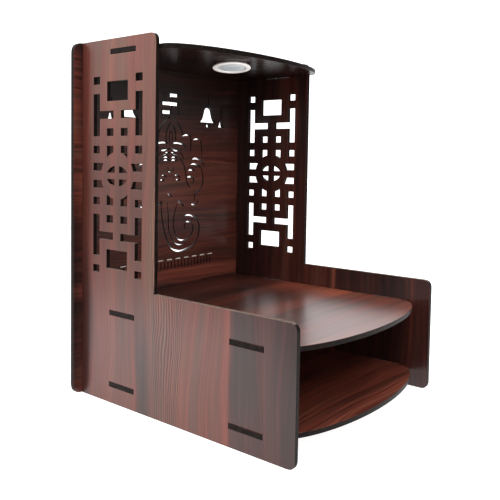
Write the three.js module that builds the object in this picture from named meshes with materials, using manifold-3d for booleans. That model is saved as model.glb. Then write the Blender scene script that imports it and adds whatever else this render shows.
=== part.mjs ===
// Household altar cabinet: a flat-pack home shrine of laser-cut laminated board.
// Millimetres, +Z up, the open front facing -Y. Five flat boards and a back lock together by
// tabs in slots, and a small round lamp is set in the underside of the roof.

import * as THREE from 'three';
import { mergeVertices } from 'three/addons/utils/BufferGeometryUtils.js';
import Module from 'manifold-3d';

const wasm = await Module();
wasm.setup();

// Boards and fits
const BOARD = 5; // thickness of every board
const FIT = 0.3; // clearance round each tab, and between boards that meet
const CORNER = 9; // radius of the side panels' rounded corners
const BACK_CORNER = 12;
const TAB = 38.4; // length of every tab
const ARC_STEPS = 8; // straight pieces in a quarter turn

// The cabinet as a whole
const HEIGHT = 394;
const WIDTH = 286; // across the outer faces of the two side panels
const FOOT_DEPTH = 288; // side panel from back to front, below the step
const HOOD_DEPTH = 115.5; // side panel from back to front, above the step
const STEP_HEIGHT = 129;
const BACK_OVERHANG = 12; // the back panel beyond each side panel

// Roof and shelves
const ROOF_DROP = 11.3; // roof top below the side panels' tops
const ROOF_FORWARD = 3.7; // straight side of the roof beyond the hood's front edge
const ROOF_BOW = 37; // how far the roof's front curves out beyond that
const UPPER_SHELF_UNDERSIDE = 97.3;
const LOWER_SHELF_UNDERSIDE = 18.2;
const SHELF_STRAIGHT = 253; // straight side of a shelf, before its front curve
const SHELF_BOW = 43; // how far a shelf's front curves out beyond that
const BOW_STEPS = 30;
const REAR_TAB = 47.2; // from the back panel to a rear tab
const FRONT_TAB = 214.6; // from the back panel to a shelf's front tab
const BACK_TAB_HEIGHTS = [40, 180, 320]; // undersides of the tabs through the back panel

// Lattice of a side panel: a grid of holes of four columns and twelve rows
const GRID_BACK = 19.65; // from the back panel to the first column
const GRID_TOP = 39; // from the panel's top to the first row
const COLUMN_PITCH = 22.2;
const ROW_PITCH = 18.67;
const HOLE_WIDE = 10.2;
const HOLE_HIGH = 8.2;
const WINDOW_HIGH = 20.8; // the large upper and lower openings
const RING_RADIUS = 25.5;
const RING_OPENING_WIDE = 33.2; // the oval opening inside the ring
const RING_OPENING_HIGH = 22;
const CROSS_BAR = 6.8;

// Pierced figure on the back panel, its heights measured down from the panel's top
const FIGURE_HIGH = 174.5; // from the trunk's lowest line to the tip of the crown
const FIGURE_BELOW_TOP = 73.5;
const FINE_LINE = 1.7;
const LINE = 2.2; // width of a drawn line
const BROAD_LINE = 2.6;
const EMBLEM_LINE = 4.3;
const EMBLEM_BELOW_TOP = 57; // to the emblem's middle
const EMBLEM_WIDE = 31;
const EMBLEM_HIGH = 26.4;
const BELL_OUT = 73.2; // from the panel's middle line to the bell's
const BELL_BELOW_TOP = 56.3;
const BELL_WIDE = 33;
const BELL_HIGH = 21.3;
const CLAPPER_WIDE = 8.4;
const CLAPPER_HIGH = 5.2;
const CLAPPER_BELOW_BELL = 2; // bridge of board between a bell and its clapper
const SMALL_BELL_OUT = 100.3;
const SMALL_BELL_BELOW_TOP = 73;
const SMALL_BELL_WIDE = 12.5;
const SMALL_BELL_HIGH = 10;
const CORD_LONG = 15; // hanging line above a bell
const CORD_GAP = 2.2; // bridge of board between a bell and its cord
const DASHES_BELOW_TOP = 257.2; // upper row of shallow strokes
const TICKS_BELOW_TOP = 264.4; // lower row
const STROKES_WIDE = 160; // each row from end to end
const STROKE_DEEP = 0.8;
const STROKE_LINE = 1.6;
const DASH_LONG = 10;
const DASH_PITCH = 16;
const TICK_HIGH = 9.4;
const TICK_PITCH = 6.4;

// Round lamp in the roof, its face leaning a little to the front left
const LAMP_RADIUS = 22;
const LAMP_RIM = 1.4; // ring proud of the plate behind the lens
const LAMP_PLATE = 0.6;
const LAMP_LEAN = 8; // degrees from facing straight down
const LAMP_TURN = 51; // degrees from the front towards the left
const LAMP_LEFT = 9; // lamp's middle to the left of the cabinet's
const LAMP_FROM_BACK = 105;
const LENS_RADIUS = 16.3;
const LENS_THICK = 1.3;
const LENS_CROWN = 0.9;
const BARREL_RADIUS = 17.5;
const BARREL_PROUD = 7; // housing above the roof
const ROUND_STEPS = 32;

// Worked out from the sizes above
const innerHalf = WIDTH / 2 - BOARD;
const roofUnderside = HEIGHT - ROOF_DROP - BOARD;
const shelfReach = SHELF_STRAIGHT + SHELF_BOW;
const shelfHalf = innerHalf - FIT;
const cutDepth = 3 * BOARD; // long enough to pass right through a board
const lampLean = THREE.MathUtils.degToRad(LAMP_LEAN);
const lampDrop = FIT + LAMP_RADIUS * Math.sin(lampLean);

// A closed mesh as a solid that can be joined and cut
function solidOf(geometry) {
  const bare = geometry.clone();
  bare.deleteAttribute('normal');
  bare.deleteAttribute('uv');
  const merged = mergeVertices(bare, 1e-4);
  return new wasm.Manifold(new wasm.Mesh({
    numProp: 3,
    vertProperties: new Float32Array(merged.attributes.position.array),
    triVerts: new Uint32Array(merged.index.array),
  }));
}

// A solid back to a mesh geometry
function geometryOf(solid) {
  const mesh = solid.getMesh();
  const geometry = new THREE.BufferGeometry();
  geometry.setAttribute('position', new THREE.BufferAttribute(new Float32Array(mesh.vertProperties), 3));
  geometry.setIndex(new THREE.BufferAttribute(new Uint32Array(mesh.triVerts), 1));
  geometry.computeVertexNormals();
  return geometry;
}

// A flat shape given thickness from z = low to z = high
function plate(shape, low, high, steps = ARC_STEPS) {
  const geometry = new THREE.ExtrudeGeometry(shape, {
    depth: high - low, bevelEnabled: false, curveSegments: steps,
  });
  geometry.translate(0, 0, low);
  return solidOf(geometry);
}

function rectangle(left, right, low, high) {
  const shape = new THREE.Shape();
  shape.moveTo(left, low);
  shape.lineTo(right, low);
  shape.lineTo(right, high);
  shape.lineTo(left, high);
  shape.closePath();
  return shape;
}

// An outline through corner points [x, y, radius], each corner rounded by its radius
function roundedOutline(corners) {
  const shape = new THREE.Shape();
  const count = corners.length;
  corners.forEach(([x, y, radius], i) => {
    const here = new THREE.Vector2(x, y);
    const before = new THREE.Vector2(...corners[(i + count - 1) % count]).sub(here).normalize();
    const after = new THREE.Vector2(...corners[(i + 1) % count]).sub(here).normalize();
    const start = before.multiplyScalar(radius).add(here);
    const end = after.multiplyScalar(radius).add(here);
    if (i === 0) shape.moveTo(start.x, start.y);
    else shape.lineTo(start.x, start.y);
    if (radius > 0) shape.quadraticCurveTo(here.x, here.y, end.x, end.y);
  });
  shape.closePath();
  return shape;
}

// A hole through a board, from left to right and low to high
function hole(left, right, low, high) {
  return plate(rectangle(left, right, low, high), -cutDepth, cutDepth);
}

// An upright oval block, round where its width and height are the same
function oval(x, y, wide, high, low, top) {
  const shape = new THREE.Shape();
  shape.absellipse(x, y, wide / 2, high / 2, 0, 2 * Math.PI, false);
  return plate(shape, low, top, ROUND_STEPS / 2);
}

function cutAll(board, cuts) {
  return cuts.reduce((rest, cut) => rest.subtract(cut), board);
}

// Places a board's drawing on the cabinet: x and y of the drawing along two room directions
function boardMesh(name, solid, material, right, up, origin) {
  const across = new THREE.Vector3(...right);
  const along = new THREE.Vector3(...up);
  const out = new THREE.Vector3().crossVectors(across, along);
  const mesh = new THREE.Mesh(geometryOf(solid), material);
  mesh.name = name;
  mesh.quaternion.setFromRotationMatrix(new THREE.Matrix4().makeBasis(across, along, out));
  mesh.position.set(...origin);
  return mesh;
}

// Materials: dark red-brown wood-grain laminate, and the lamp's white plastic and frosted lens
const laminate = (color) => new THREE.MeshStandardMaterial({ color, roughness: 0.42, metalness: 0 });
const whitePlastic = new THREE.MeshStandardMaterial({ color: 0xf0edea, roughness: 0.35, metalness: 0 });
const frostedLens = new THREE.MeshStandardMaterial({ color: 0xc8ced2, roughness: 0.5, metalness: 0 });

// Side panel, drawn with x forward from the back panel and y up

// The lattice's holes, in the side panel's drawing
function latticeHoles() {
  const left = (column) => GRID_BACK + column * COLUMN_PITCH;
  const right = (column) => left(column) + HOLE_WIDE;
  const top = (row) => HEIGHT - GRID_TOP - row * ROW_PITCH;
  const bottom = (row) => top(row) - HOLE_HIGH;
  const middleX = (left(0) + right(3)) / 2;
  const middleY = (top(0) + bottom(11)) / 2;
  const cuts = [];
  const span = (columnA, columnB, rowA, rowB) => (
    hole(left(columnA), right(columnB), bottom(rowB), top(rowA))
  );
  for (const column of [0, 3]) {
    for (const row of [0, 4, 7, 11]) cuts.push(span(column, column, row, row));
    for (const row of [1, 8]) cuts.push(span(column, column, row, row + 2));
  }
  for (const row of [2, 9]) {
    cuts.push(span(0, 1, row, row));
    cuts.push(span(2, 3, row, row));
  }
  for (const column of [1, 2]) {
    for (const row of [3, 8]) cuts.push(span(column, column, row, row));
  }
  cuts.push(hole(left(1), right(2), bottom(1), bottom(1) + WINDOW_HIGH));
  cuts.push(hole(left(1), right(2), top(10) - WINDOW_HIGH, top(10)));

  // Holes round the ring run up to its outer edge
  const across = 2 * RING_RADIUS;
  const ring = oval(middleX, middleY, across, across, -2 * cutDepth, 2 * cutDepth);
  const towardRing = [
    hole(left(1), right(1), middleY, top(4)),
    hole(left(2), right(2), middleY, top(4)),
    hole(left(1), right(1), bottom(7), middleY),
    hole(left(2), right(2), bottom(7), middleY),
    hole(left(0), middleX, bottom(5), top(5)),
    hole(middleX, right(3), bottom(5), top(5)),
    hole(left(0), middleX, bottom(6), top(6)),
    hole(middleX, right(3), bottom(6), top(6)),
  ];
  towardRing.forEach((cut) => cuts.push(cut.subtract(ring)));

  // Four quarter openings inside the ring, parted by a cross
  const opening = oval(middleX, middleY, RING_OPENING_WIDE, RING_OPENING_HIGH, -cutDepth, cutDepth);
  const bar = CROSS_BAR / 2;
  const upright = hole(middleX - bar, middleX + bar, middleY - RING_RADIUS, middleY + RING_RADIUS);
  const level = hole(middleX - RING_RADIUS, middleX + RING_RADIUS, middleY - bar, middleY + bar);
  cuts.push(cutAll(opening, [upright, level]));
  return cuts;
}

// Where the roof and shelves pass through a side panel: [tab start, board underside]
const sideTabs = [
  [REAR_TAB, roofUnderside],
  [REAR_TAB, UPPER_SHELF_UNDERSIDE],
  [FRONT_TAB, UPPER_SHELF_UNDERSIDE],
  [REAR_TAB, LOWER_SHELF_UNDERSIDE],
  [FRONT_TAB, LOWER_SHELF_UNDERSIDE],
];

function sidePanelSolid() {
  const outline = roundedOutline([
    [FIT, 0, 0],
    [FOOT_DEPTH, 0, CORNER],
    [FOOT_DEPTH, STEP_HEIGHT, CORNER],
    [HOOD_DEPTH, STEP_HEIGHT, 0],
    [HOOD_DEPTH, HEIGHT, CORNER],
    [FIT, HEIGHT, 0],
  ]);
  let panel = plate(outline, 0, BOARD);
  for (const low of BACK_TAB_HEIGHTS) {
    panel = panel.add(plate(rectangle(-BOARD, BOARD, low, low + TAB), 0, BOARD));
  }
  const slots = sideTabs.map(([start, underside]) => (
    hole(start - FIT, start + TAB + FIT, underside - FIT, underside + BOARD + FIT)
  ));
  return cutAll(panel, [...latticeHoles(), ...slots]);
}

// Back panel, drawn with x to the right and y up

// A point of the figure, drawn in hundredths of its height up from its lowest line
function figurePoint([x, y]) {
  const unit = FIGURE_HIGH / 100;
  return new THREE.Vector3(x * unit, HEIGHT - FIGURE_BELOW_TOP - FIGURE_HIGH + y * unit, 0);
}

// A cut line along a smooth curve through the figure's points, fullest in its middle
function pierced(points, width = LINE, steps = 3) {
  const curve = new THREE.CatmullRomCurve3(points.map(figurePoint), false, 'centripetal');
  const count = (points.length - 1) * steps;
  const thinnest = 0.45; // at a line's ends, as a share of its width
  const sideA = [];
  const sideB = [];
  for (let i = 0; i <= count; i += 1) {
    const at = curve.getPoint(i / count);
    const along = curve.getTangent(i / count);
    const swell = Math.sqrt(Math.abs(Math.sin((Math.PI * i) / count)));
    const half = (width / 2) * (thinnest + (1 - thinnest) * swell);
    sideA.push(new THREE.Vector2(at.x - along.y * half, at.y + along.x * half));
    sideB.unshift(new THREE.Vector2(at.x + along.y * half, at.y - along.x * half));
  }
  return plate(new THREE.Shape([...sideB, ...sideA].reverse()), -cutDepth, cutDepth);
}

// The same line on both sides of the middle
function pair(points, width) {
  return [pierced(points, width), pierced(points.map(([x, y]) => [-x, y]), width)];
}

// Traditional auspicious emblem: a cross whose arms bend to the right as they turn
function emblem() {
  const half = EMBLEM_LINE / 2;
  const wide = EMBLEM_WIDE / 2;
  const high = EMBLEM_HIGH / 2;
  const z = HEIGHT - EMBLEM_BELOW_TOP;
  return [
    hole(-half, half, z - high, z + high),
    hole(-wide, wide, z - half, z + half),
    hole(-half, wide, z + high - EMBLEM_LINE, z + high),
    hole(-wide, half, z - high, z - high + EMBLEM_LINE),
    hole(-wide, -wide + EMBLEM_LINE, z - half, z + high),
    hole(wide - EMBLEM_LINE, wide, z - high, z + half),
  ];
}

// A bell's outline: shoulders, waist and a flared lip, drawn for a bell 2 wide and 1 high
function bell(x, top, wide, high) {
  const at = (across, down) => [x + (across * wide) / 2, top - down * high];
  const shape = new THREE.Shape();
  shape.moveTo(...at(-1, 1));
  shape.bezierCurveTo(...at(-0.66, 0.8), ...at(-0.6, 0.5), ...at(-0.5, 0.25));
  shape.bezierCurveTo(...at(-0.42, 0), ...at(0.42, 0), ...at(0.5, 0.25));
  shape.bezierCurveTo(...at(0.6, 0.5), ...at(0.66, 0.8), ...at(1, 1));
  shape.closePath();
  return plate(shape, -cutDepth, cutDepth);
}

// The line that a bell hangs from
function cord(x, bellTop) {
  const low = bellTop + CORD_GAP;
  return hole(x - FINE_LINE / 2, x + FINE_LINE / 2, low, low + CORD_LONG);
}

function bellsOn(side) {
  const x = side * BELL_OUT;
  const top = HEIGHT - BELL_BELOW_TOP;
  const clapperZ = top - BELL_HIGH - CLAPPER_BELOW_BELL - CLAPPER_HIGH / 2;
  const smallX = side * SMALL_BELL_OUT;
  const smallTop = HEIGHT - SMALL_BELL_BELOW_TOP;
  return [
    bell(x, top, BELL_WIDE, BELL_HIGH),
    oval(x, clapperZ, CLAPPER_WIDE, CLAPPER_HIGH, -cutDepth, cutDepth),
    cord(x, top),
    bell(smallX, smallTop, SMALL_BELL_WIDE, SMALL_BELL_HIGH),
    cord(smallX, smallTop),
  ];
}

// Crown, brow and forehead marks
function crownLines() {
  return [
    ...pair([[1.3, 100], [4, 98], [7.6, 95.1], [11.3, 90.9], [13, 86.2]]),
    ...pair([[0.3, 95.5], [2.8, 93.1], [5.1, 87.1], [4.7, 80.7]]),
    ...pair([[0.2, 89.6], [1.3, 87.7], [1.8, 84.8], [0.9, 80.5]], FINE_LINE),
    ...pair([[2.9, 80.6], [6, 81.1], [10.3, 80.7], [14.1, 80], [15.7, 77.6], [13.4, 75.3]]),
    ...pair([[0.8, 77.1], [4.9, 75.5], [8.9, 75.2]]),
    ...pair([[0.5, 74.2], [2.9, 73.6], [5.5, 73.9]], FINE_LINE),
    ...pair([[1, 69.9], [3.7, 70.6], [7.2, 70]]),
    ...pair([[1, 67.9], [3.7, 68.5], [7.2, 67.9]]),
    ...pair([[7.4, 76.5], [11.7, 72.8], [14.1, 69]], FINE_LINE),
    pierced([[-3.1, 63], [-2.3, 60.5], [0, 59.4], [2.3, 60.5], [3.1, 63]], FINE_LINE),
  ];
}

// Head, eyes and ears
function headLines() {
  return [
    ...pair([[2.5, 72.9], [7.2, 71.6], [11, 68.5], [14.6, 64.2], [16.7, 57.9], [17.7, 52.1], [21.4, 47.3]]),
    ...pair([[4, 55.4], [6.5, 57.5], [10.5, 55.4]]),
    ...pair([[6.1, 54.3], [8.3, 53.4], [10.3, 54.2]], BROAD_LINE),
    ...pair([[11.9, 85.6], [16, 87.1], [20.9, 86.8], [22, 81.4], [21.3, 74.5]]),
    ...pair([[24.4, 83.4], [28.7, 84.6], [32.7, 83.6], [34.2, 77.9], [34.7, 72]]),
    ...pair([[23.3, 68.5], [27.5, 69.8], [32.7, 68.5], [38.3, 64.5]], BROAD_LINE),
    ...pair([[22, 64.8], [26.4, 65.6], [30.7, 64.5], [33.6, 62.1]]),
    ...pair([[19.7, 60.3], [22.9, 61.1], [26.6, 60.2]], BROAD_LINE),
    ...pair([[18.1, 55.2], [22.3, 56], [25.4, 53.9], [24.9, 50.2]], BROAD_LINE),
    ...pair([[34.4, 62.2], [36.3, 55.6], [35.8, 49.6], [30.9, 44.8], [27, 41.8], [26.5, 37.5]]),
    ...pair([[23.3, 35.2], [26, 34], [29.2, 35.2], [31.4, 37.2]], BROAD_LINE),
    pierced([[8.1, 38.1], [11.8, 36], [15.1, 33.6]], BROAD_LINE),
    pierced([[-15.1, 33.6], [-11.8, 36], [-8.1, 38.1]], BROAD_LINE),
    pierced([[-3.2, 44.1], [-0.6, 42.8], [2.1, 41.6]]),
  ];
}

// Trunk, curling forward into a spiral
function trunkLines() {
  const outer = [
    [-10, 38.8], [-8.6, 26.6], [-6, 16.3], [-2.7, 8.9], [2.2, 3], [10, 0], [18.1, 0.9],
    [25.6, 3.7], [30.7, 8.8], [32.6, 15.8], [30.4, 22.1], [24.4, 26], [18, 26.6], [13, 24.4],
  ];
  const inner = [
    [7.1, 35.8], [4.6, 28.9], [3.4, 21.6], [4.7, 15.1], [8, 10.4], [12.8, 7.9], [18.3, 8.6],
    [23.3, 12], [25.4, 16.8], [23.3, 20.6], [18.9, 21.8], [15.7, 19.5], [15.9, 16.4],
  ];
  const middle = [
    [-3.1, 37.3], [-1.9, 26.4], [-1.5, 17.8], [0.9, 11.3], [4.8, 7.2], [10.8, 4.7], [18, 4.9],
  ];
  return [pierced(outer, BROAD_LINE), pierced(inner), pierced(middle, FINE_LINE)];
}

// Two rows of shallow strokes below the figure: dashes, and short upright ticks under them
function shallowStrokes() {
  const row = (pitch, wide, tall, belowTop) => {
    const gaps = Math.floor(STROKES_WIDE / pitch);
    const z = HEIGHT - belowTop;
    return Array.from({ length: gaps + 1 }, (_, i) => {
      const x = (i - gaps / 2) * pitch;
      const stroke = rectangle(x - wide / 2, x + wide / 2, z - tall / 2, z + tall / 2);
      return plate(stroke, BOARD - STROKE_DEEP, BOARD + cutDepth);
    });
  };
  return [
    ...row(DASH_PITCH, DASH_LONG, STROKE_LINE, DASHES_BELOW_TOP),
    ...row(TICK_PITCH, STROKE_LINE, TICK_HIGH, TICKS_BELOW_TOP),
  ];
}

function backPanelSolid() {
  const half = WIDTH / 2 + BACK_OVERHANG;
  const outline = roundedOutline([
    [-half, 0, BACK_CORNER],
    [half, 0, BACK_CORNER],
    [half, HEIGHT, BACK_CORNER],
    [-half, HEIGHT, BACK_CORNER],
  ]);
  const slots = [];
  for (const low of BACK_TAB_HEIGHTS) {
    for (const side of [-1, 1]) {
      const middle = side * (WIDTH / 2 - BOARD / 2);
      const reach = BOARD / 2 + FIT;
      slots.push(hole(middle - reach, middle + reach, low - FIT, low + TAB + FIT));
    }
  }
  return cutAll(plate(outline, 0, BOARD), [
    ...slots, ...emblem(), ...bellsOn(-1), ...bellsOn(1),
    ...crownLines(), ...headLines(), ...trunkLines(), ...shallowStrokes(),
  ]);
}

// Roof and shelves, drawn from above with x to the right and y to the back

function curvedBoard(straight, bow, tabs) {
  const outline = new THREE.Shape();
  outline.moveTo(-shelfHalf, -FIT);
  outline.lineTo(-shelfHalf, -straight);
  outline.absellipse(0, -straight, shelfHalf, bow, Math.PI, 2 * Math.PI, false);
  outline.lineTo(shelfHalf, -FIT);
  outline.closePath();
  let board = plate(outline, 0, BOARD, BOW_STEPS);
  for (const start of tabs) {
    board = board.add(plate(rectangle(-WIDTH / 2, WIDTH / 2, -start - TAB, -start), 0, BOARD));
  }
  return board;
}

function roofSolid() {
  const across = 2 * (BARREL_RADIUS + FIT);
  const lampHole = oval(-LAMP_LEFT, -LAMP_FROM_BACK, across, across, -cutDepth, cutDepth);
  return curvedBoard(HOOD_DEPTH + ROOF_FORWARD, ROOF_BOW, [REAR_TAB]).subtract(lampHole);
}

// Round lamp, worked out in its own frame: the face looks down, its back plane at z = 0

// A solid turned about the upright axis from points [radius, height]
function turned(profile) {
  const points = [...profile].reverse().map(([radius, z]) => new THREE.Vector2(radius, z));
  return new THREE.LatheGeometry(points, ROUND_STEPS).rotateX(Math.PI / 2);
}

// Tips a lamp piece so that its face looks down and to the front left
function leaning(geometry) {
  const toward = -THREE.MathUtils.degToRad(LAMP_TURN);
  return geometry.rotateX(-lampLean).rotateZ(toward);
}

// Bezel: a ring with a rounded edge, closed behind the lens, on a barrel through the roof
function bezelSolid() {
  const seat = LAMP_RIM + LAMP_PLATE;
  const opening = LENS_RADIUS + FIT;
  const ring = solidOf(leaning(turned([
    [0, 0],
    [LAMP_RADIUS - LAMP_RIM / 2, 0],
    [LAMP_RADIUS, -seat / 2],
    [LAMP_RADIUS - LAMP_RIM, -seat],
    [opening, -seat],
    [opening, -LAMP_PLATE],
    [0, -LAMP_PLATE],
  ])));
  const top = lampDrop + BOARD + BARREL_PROUD;
  const bottom = -LAMP_RADIUS;
  const barrel = solidOf(turned([
    [0, top],
    [BARREL_RADIUS, top],
    [BARREL_RADIUS, bottom],
    [0, bottom],
  ]));
  const below = solidOf(leaning(turned([
    [0, -LAMP_PLATE / 2],
    [2 * LAMP_RADIUS, -LAMP_PLATE / 2],
    [2 * LAMP_RADIUS, 2 * bottom],
    [0, 2 * bottom],
  ])));
  return ring.add(barrel.subtract(below));
}

// Lens: a shallow crowned disc in the bezel's opening
function lensSolid() {
  const back = -LAMP_PLATE - FIT;
  const face = back - (LENS_THICK - LENS_CROWN);
  const steps = 3;
  const crown = Array.from({ length: steps + 1 }, (_, i) => {
    const turn = (i / steps) * (Math.PI / 2);
    return [LENS_RADIUS * Math.cos(turn), face - LENS_CROWN * Math.sin(turn)];
  });
  return solidOf(leaning(turned([[0, back], [LENS_RADIUS, back], ...crown])));
}

// The cabinet: its origin is on the floor under the middle of the whole
const cabinet = new THREE.Group();
cabinet.name = 'household_altar_cabinet';
cabinet.position.y = (shelfReach - BOARD) / 2;

const rightward = [1, 0, 0];
const backward = [0, 1, 0];
const forward = [0, -1, 0];
const upward = [0, 0, 1];
cabinet.add(boardMesh(
  'back_panel', backPanelSolid(), laminate(0x3a1d18), rightward, upward, [0, BOARD, 0],
));
cabinet.add(boardMesh(
  'left_side_panel', sidePanelSolid(), laminate(0x54302a), forward, upward, [-innerHalf, 0, 0],
));
cabinet.add(boardMesh(
  'right_side_panel', sidePanelSolid(), laminate(0x4a2620), forward, upward, [WIDTH / 2, 0, 0],
));
cabinet.add(boardMesh(
  'roof_panel', roofSolid(), laminate(0x42241e), rightward, backward, [0, 0, roofUnderside],
));
const shelf = () => curvedBoard(SHELF_STRAIGHT, SHELF_BOW, [REAR_TAB, FRONT_TAB]);
cabinet.add(boardMesh(
  'upper_shelf', shelf(), laminate(0x4c2822), rightward, backward, [0, 0, UPPER_SHELF_UNDERSIDE],
));
cabinet.add(boardMesh(
  'lower_shelf', shelf(), laminate(0x4c2822), rightward, backward, [0, 0, LOWER_SHELF_UNDERSIDE],
));

const lamp = new THREE.Group();
lamp.position.set(-LAMP_LEFT, -LAMP_FROM_BACK, roofUnderside - lampDrop);
const bezel = new THREE.Mesh(geometryOf(bezelSolid()), whitePlastic);
bezel.name = 'spotlight_bezel';
const lens = new THREE.Mesh(geometryOf(lensSolid()), frostedLens);
lens.name = 'spotlight_lens';
lamp.add(bezel, lens);
cabinet.add(lamp);

export default cabinet;
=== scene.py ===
"""Looks of a flat-pack household altar cabinet: its boards, its roof lamp and a plain studio.

The boards take their outlines from the fixed frame. Each gets softened arrises, a printed
wood-grain laminate on its two faces and the charred fibre of a laser cut on its edges.
"""
import functools
import logging
import math
from dataclasses import dataclass, field
from enum import Enum
from typing import Any

import bmesh
import bpy
import numpy as np
from mathutils import Matrix, Vector


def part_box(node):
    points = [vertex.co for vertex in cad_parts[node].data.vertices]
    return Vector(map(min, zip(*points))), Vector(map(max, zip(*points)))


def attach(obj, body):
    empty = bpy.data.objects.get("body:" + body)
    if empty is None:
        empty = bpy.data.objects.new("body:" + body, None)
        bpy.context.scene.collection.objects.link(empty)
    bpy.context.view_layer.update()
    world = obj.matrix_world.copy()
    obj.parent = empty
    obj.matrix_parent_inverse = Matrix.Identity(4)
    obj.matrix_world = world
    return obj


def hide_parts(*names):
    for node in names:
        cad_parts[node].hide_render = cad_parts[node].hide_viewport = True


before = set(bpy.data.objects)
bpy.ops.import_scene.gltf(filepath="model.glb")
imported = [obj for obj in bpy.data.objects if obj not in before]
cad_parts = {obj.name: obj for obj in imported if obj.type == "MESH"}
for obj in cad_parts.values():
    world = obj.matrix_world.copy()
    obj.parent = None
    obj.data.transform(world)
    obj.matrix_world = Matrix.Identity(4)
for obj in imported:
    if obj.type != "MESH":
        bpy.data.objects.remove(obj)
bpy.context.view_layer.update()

MM = 0.001
SAME_POINT = 0.001 * MM
SAME_PLANE = 0.05 * MM
ALONG = 0.99  # the share of a normal that makes a face look along an axis
UPWARD = 0.9  # the share that makes a face look up
MOST_NOISE = (0.3, 0.7)  # most of a noise lies between these
ALL_NOISE = (0.25, 0.75)
LOG = logging.getLogger("altar_cabinet")

Rgba = tuple[float, float, float, float]
Bands = tuple[tuple[float, float], ...]
Socket = bpy.types.NodeSocket
Tree = bpy.types.NodeTree


class GrainRun(Enum):
    """The axis that the printed grain runs along, and the axis that its bands lie across."""

    UPRIGHT = ("z", "y")
    SIDEWAYS_STANDING = ("x", "z")
    SIDEWAYS_LYING = ("x", "y")


class Facing(Enum):
    """The axis that a board's two printed faces look along."""

    SIDEWAYS = 0
    BACKWARD = 1
    UPWARD = 2


class FaceKind(Enum):
    """The finishes of a board, by material number."""

    PRINTED = 0
    CUT_EDGE = 1
    PALE_STROKE = 2
    # cut edges that look up, given a paler charred finish: painted light
    PAINTED_LIT_EDGE = 3


def linear(hex_colour: str, alpha: float = 1.0) -> Rgba:
    """Turns an sRGB hex colour to linear light.

    Args:
        hex_colour: six hex digits, red first.
        alpha: the fourth value.

    Returns:
        Linear red, green, blue and alpha.
    """
    values = [int(hex_colour[i:i + 2], 16) / 255 for i in (0, 2, 4)]
    red, green, blue = (v / 12.92 if v <= 0.04045 else ((v + 0.055) / 1.055) ** 2.4 for v in values)
    return red, green, blue, alpha


def add_node(tree: Tree, kind: str, links: dict[Any, Any] | None = None,
             values: dict[Any, Any] | None = None, **settings: Any) -> bpy.types.Node:
    """Adds one shader node.

    Args:
        tree: the material's node tree.
        kind: the node's type name.
        links: input name or number to the output socket that feeds it.
        values: input name or number to its constant.
        settings: attributes of the node itself.

    Returns:
        The new node.
    """
    node = tree.nodes.new(kind)
    for name, value in settings.items():
        setattr(node, name, value)
    for key, value in (values or {}).items():
        node.inputs[key].default_value = value
    for key, source in (links or {}).items():
        tree.links.new(source, node.inputs[key])
    return node


def add_up(tree: Tree, parts: list[Socket]) -> Socket:
    """Adds values together.

    Args:
        tree: the node tree.
        parts: at least one value.

    Returns:
        Their sum.
    """
    total = parts[0]
    for part in parts[1:]:
        total = add_node(tree, "ShaderNodeMath", {0: total, 1: part}, operation="ADD").outputs[0]
    return total


def set_stops(node: bpy.types.Node, stops: list[tuple[float, Rgba]]) -> None:
    """Sets a colour ramp's stops.

    Args:
        node: a colour ramp node.
        stops: place from 0 to 1 and linear colour, from left to right.
    """
    elements = node.color_ramp.elements
    while len(elements) > 1:
        elements.remove(elements[-1])
    while len(elements) < len(stops):
        elements.new(1.0)
    for element, (place, colour) in zip(elements, stops):
        element.position = place
        element.color = colour


def blank_material(name: str) -> tuple[bpy.types.Material, Tree]:
    """Starts a node material with no nodes.

    Args:
        name: the material's name.

    Returns:
        The material and its node tree.
    """
    made = bpy.data.materials.new(name)
    made.use_nodes = True
    made.node_tree.nodes.clear()
    return made, made.node_tree


@dataclass(frozen=True)
class Cloud:
    """A soft oval patch laid over a print, some of them print tone, some painted light and shade:
    its middle and half sizes in millimetres, and what it adds.
    """

    across: float
    along: float
    half_across: float
    half_along: float
    lighter: float
    redder: float


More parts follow.
